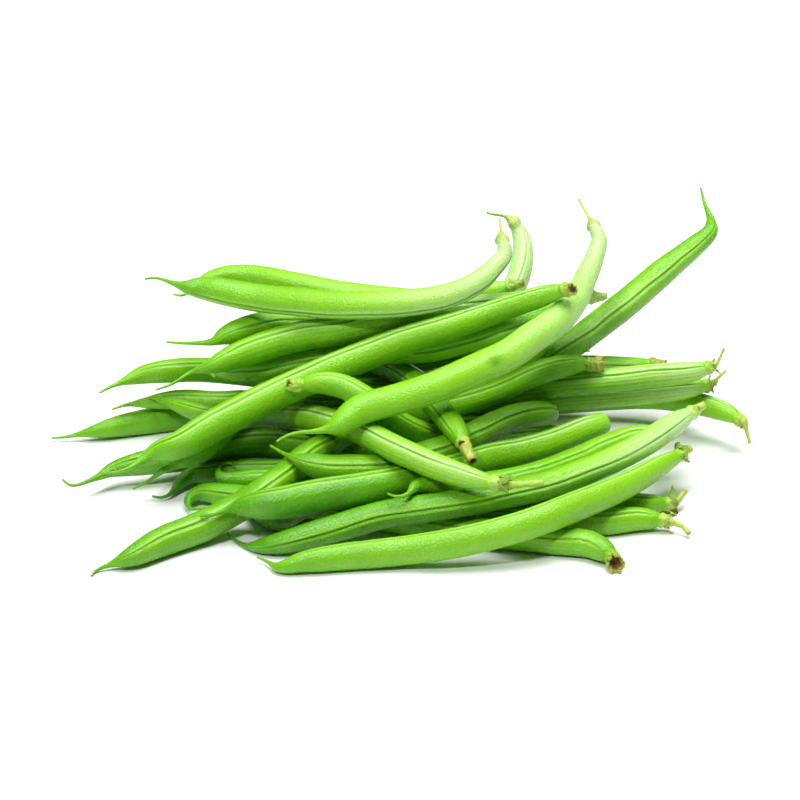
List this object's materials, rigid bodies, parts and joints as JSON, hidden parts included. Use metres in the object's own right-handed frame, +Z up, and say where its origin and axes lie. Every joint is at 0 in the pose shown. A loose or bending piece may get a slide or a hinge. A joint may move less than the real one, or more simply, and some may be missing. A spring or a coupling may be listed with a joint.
{
  "type": "green bean bundle",
  "caption": "Loose heap of fresh green beans: long slim pods with curled beaks, calyx ends and short stalks",
  "frame": {"origin": "middle of the bottom of the heap, on the surface it lies on", "axes": "+X along the beans to the side where most stalks point, +Y to the back of the heap, +Z up"},
  "size_m": [0.2072, 0.1418, 0.0678],
  "materials": {
    "bean_skin": null
  },
  "bodies": {
    "root": {"bean_01": "bean_skin", "bean_02": "bean_skin", "bean_03": "bean_skin", "bean_04": "bean_skin", "bean_05": "bean_skin", "bean_06": "bean_skin", "bean_07": "bean_skin", "bean_08": "bean_skin", "bean_09": "bean_skin", "bean_10": "bean_skin", "bean_11": "bean_skin", "bean_12": "bean_skin", "bean_13": "bean_skin", "bean_14": "bean_skin", "bean_15": "bean_skin", "bean_16": "bean_skin", "bean_17": "bean_skin", "bean_18": "bean_skin", "bean_19": "bean_skin", "bean_20": "bean_skin", "bean_21": "bean_skin", "bean_22": "bean_skin", "bean_23": "bean_skin", "bean_24": "bean_skin", "bean_25": "bean_skin", "bean_26": "bean_skin", "bean_27": "bean_skin", "bean_28": "bean_skin", "bean_29": "bean_skin", "bean_30": "bean_skin", "bean_31": "bean_skin", "bean_32": "bean_skin", "bean_33": "bean_skin", "bean_34": "bean_skin", "bean_35": "bean_skin"}
  },
  "joints": []
}
